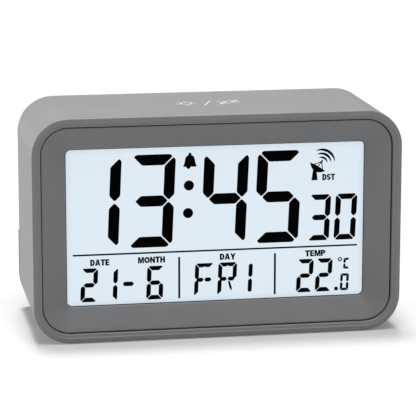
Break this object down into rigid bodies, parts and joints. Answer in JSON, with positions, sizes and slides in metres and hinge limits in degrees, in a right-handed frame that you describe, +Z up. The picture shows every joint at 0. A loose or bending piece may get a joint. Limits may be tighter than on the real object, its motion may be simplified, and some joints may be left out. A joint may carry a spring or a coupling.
{
  "type": "radio-controlled alarm clock",
  "caption": "Desk alarm clock: rounded grey moulded case, dished frame round a backlit display, touch field on top, rear push buttons, alarm slide switch and tilting battery door.",
  "frame": {"origin": "under the middle of the clock's box, on the plane of its feet", "axes": "+X to the right of someone who reads the display, +Y from the display to the back, +Z up"},
  "size_m": [0.135, 0.0584, 0.0826],
  "materials": {
    "case_plastic": "fine spark-eroded grain",
    "fascia_plastic": "satin",
    "button_plastic": "satin",
    "knob_plastic": "satin",
    "white_plastic": "satin",
    "foot_rubber": "matte",
    "display_film": "lit, anti-glare",
    "display_glass": "polished",
    "guide_acrylic": "polished",
    "circuit_board": "solder mask",
    "chip_resin": "satin",
    "plated_steel": "nickel plated",
    "brass_sheet": "rolled",
    "copper": "enamelled",
    "ferrite": "sintered",
    "piezo_ceramic": "fired",
    "cell_sleeve": "printed film",
    "lead_red": "satin",
    "lead_black": "satin",
    "ribbon_grey": "satin",
    "segment_ink": "dark display segments",
    "sign_print": "pad printed"
  },
  "bodies": {
    "case": {"front_housing": "case_plastic", "fascia_frame": "fascia_plastic", "rubber_foot_1": "foot_rubber", "rubber_foot_2": "foot_rubber", "rubber_foot_3": "foot_rubber", "rubber_foot_4": "foot_rubber", "front_polariser": "display_film", "lcd_front_glass": "display_glass", "lcd_rear_glass": "display_glass", "diffuser_sheet": "white_plastic", "light_guide": "guide_acrylic", "reflector_sheet": "white_plastic", "backlight_board": "circuit_board", "backlight_led_1": "white_plastic", "backlight_led_2": "white_plastic", "backlight_led_3": "white_plastic", "contact_strip": "foot_rubber", "display_carrier": "white_plastic", "board_screw_left": "plated_steel", "board_screw_right": "plated_steel", "main_board": "circuit_board", "clock_chip": "chip_resin", "quartz_crystal": "plated_steel", "receiver_board": "circuit_board", "thermistor": "chip_resin", "ferrite_rod": "ferrite", "antenna_coil": "copper", "touch_electrode": "copper", "touch_lead": "lead_black", "rear_housing": "case_plastic", "case_screw_1": "plated_steel", "case_screw_2": "plated_steel", "case_screw_3": "plated_steel", "case_screw_4": "plated_steel", "cell_upper": "cell_sleeve", "cell_lower": "cell_sleeve", "battery_spring_upper": "plated_steel", "battery_spring_lower": "plated_steel", "positive_contact": "plated_steel", "negative_contact": "plated_steel", "link_contact": "plated_steel", "positive_lead": "lead_red", "negative_lead": "lead_black", "tact_switch_1": "chip_resin", "tact_switch_2": "chip_resin", "tact_switch_3": "chip_resin", "tact_switch_4": "chip_resin", "tact_switch_5": "chip_resin", "button_board": "circuit_board", "ribbon_cable": "ribbon_grey", "alarm_switch": "plated_steel", "buzzer_plate": "brass_sheet", "buzzer_ceramic": "piezo_ceramic"},
    "button_1": {"rear_button_1": "button_plastic"},
    "button_2": {"rear_button_2": "button_plastic"},
    "button_3": {"rear_button_3": "button_plastic"},
    "button_4": {"rear_button_4": "button_plastic"},
    "button_5": {"rear_button_5": "button_plastic"},
    "alarm_knob": {"alarm_switch_knob": "knob_plastic"},
    "door": {"battery_door": "case_plastic"}
  },
  "joints": [
    {"name": "button_1_press", "type": "slide", "parent": "case", "child": "button_1", "axis": [0, -1, 0], "range_m": [0, 0.0007], "stiffness_N_per_m": 800, "springref_m": -0.0005},
    {"name": "button_2_press", "type": "slide", "parent": "case", "child": "button_2", "axis": [0, -1, 0], "range_m": [0, 0.0007], "stiffness_N_per_m": 800, "springref_m": -0.0005},
    {"name": "button_3_press", "type": "slide", "parent": "case", "child": "button_3", "axis": [0, -1, 0], "range_m": [0, 0.0007], "stiffness_N_per_m": 800, "springref_m": -0.0005},
    {"name": "button_4_press", "type": "slide", "parent": "case", "child": "button_4", "axis": [0, -1, 0], "range_m": [0, 0.0007], "stiffness_N_per_m": 800, "springref_m": -0.0005},
    {"name": "button_5_press", "type": "slide", "parent": "case", "child": "button_5", "axis": [0, -1, 0], "range_m": [0, 0.0007], "stiffness_N_per_m": 800, "springref_m": -0.0005},
    {"name": "alarm_knob_slide", "type": "slide", "parent": "case", "child": "alarm_knob", "axis": [1, 0, 0], "range_m": [0, 0.004]},
    {"name": "door_tilt", "type": "hinge", "parent": "case", "child": "door", "pos_m": [0, 0.02925, 0.00345], "axis": [-1, 0, 0], "range_deg": [0, 70]}
  ]
}
